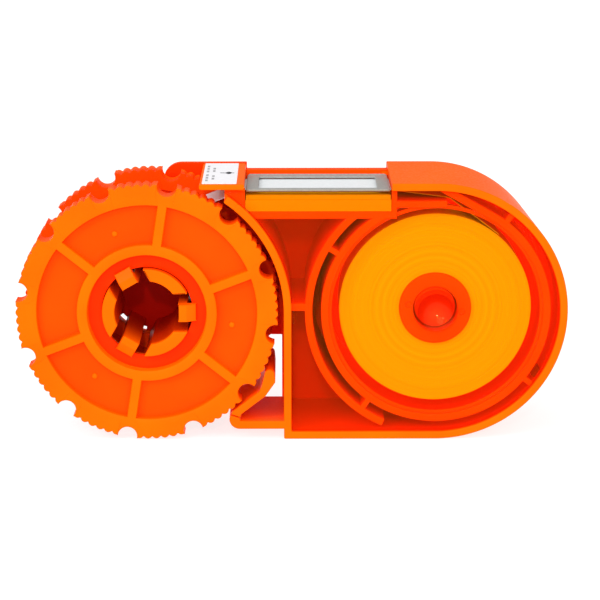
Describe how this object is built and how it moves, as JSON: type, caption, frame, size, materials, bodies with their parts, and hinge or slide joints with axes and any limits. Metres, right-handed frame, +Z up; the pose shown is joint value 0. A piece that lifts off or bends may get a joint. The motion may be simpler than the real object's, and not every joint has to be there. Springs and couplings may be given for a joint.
{
  "type": "hand-wound tape cassette",
  "caption": "Orange cassette with a clear cover: a supply roll feeds tape across a top window to a toothed, thumb-turned take-up reel on a split snap spindle.",
  "frame": {"origin": "middle of the footprint, on the surface that the cassette stands on", "axes": "+Z up, +X from the take-up reel towards the supply roll, -Y is the front with the clear cover"},
  "size_m": [0.161, 0.0364, 0.0767],
  "materials": {
    "orange_plastic": "satin moulded ABS",
    "clear_cover": "polished transparent",
    "white_tape": "matte",
    "white_plastic": "matte",
    "foam": "matte",
    "grey_plastic": "satin",
    "label": "semi-gloss",
    "felt": "matte"
  },
  "bodies": {
    "frame": {"frame_shell": "orange_plastic", "spindle_base": "orange_plastic", "spindle_segment_1": "orange_plastic", "spindle_segment_2": "orange_plastic", "spindle_segment_3": "orange_plastic", "front_cover": "clear_cover", "drag_washer": "felt", "platen_block": "white_plastic", "foam_pad": "foam", "window_frame": "grey_plastic", "tape_run": "white_tape", "bridge_plate": "orange_plastic", "direction_label": "label"},
    "reel": {"reel_front_flange": "orange_plastic", "reel_rear_flange": "orange_plastic", "leader_clip": "grey_plastic", "takeup_winding": "white_tape"},
    "supply": {"supply_core": "orange_plastic", "supply_roll": "white_tape"},
    "pawl": {"pawl_arm": "orange_plastic"},
    "hook_1": {"snap_hook_1": "orange_plastic"},
    "hook_2": {"snap_hook_2": "orange_plastic"},
    "hook_3": {"snap_hook_3": "orange_plastic"}
  },
  "joints": [
    {"name": "reel_spin", "type": "hinge", "parent": "frame", "child": "reel", "pos_m": [-0.04228, 0, 0.03835], "axis": [0, 1, 0], "continuous": true},
    {"name": "supply_spin", "type": "hinge", "parent": "frame", "child": "supply", "pos_m": [0.04213, 0, 0.03835], "axis": [0, 1, 0], "continuous": true},
    {"name": "pawl_flex", "type": "hinge", "parent": "frame", "child": "pawl", "pos_m": [-0.0166, -0.0054, 0.007], "axis": [0, 1, 0], "range_deg": [0, 2.5], "stiffness_Nm_per_rad": 0.05},
    {"name": "hook_1_flex", "type": "hinge", "parent": "frame", "child": "hook_1", "pos_m": [-0.03188, 0.0122, 0.03835], "axis": [0, 0, -1], "range_deg": [0, 2.2], "stiffness_Nm_per_rad": 0.5},
    {"name": "hook_2_flex", "type": "hinge", "parent": "frame", "child": "hook_2", "pos_m": [-0.04748, 0.0122, 0.04736], "axis": [0.866, 0, 0.5], "range_deg": [0, 2.2], "stiffness_Nm_per_rad": 0.5},
    {"name": "hook_3_flex", "type": "hinge", "parent": "frame", "child": "hook_3", "pos_m": [-0.04748, 0.0122, 0.02934], "axis": [-0.866, 0, 0.5], "range_deg": [0, 2.2], "stiffness_Nm_per_rad": 0.5}
  ],
  "couplings": [
    {"joint": "supply_spin", "follows": "reel_spin", "ratio": 0.7553}
  ]
}
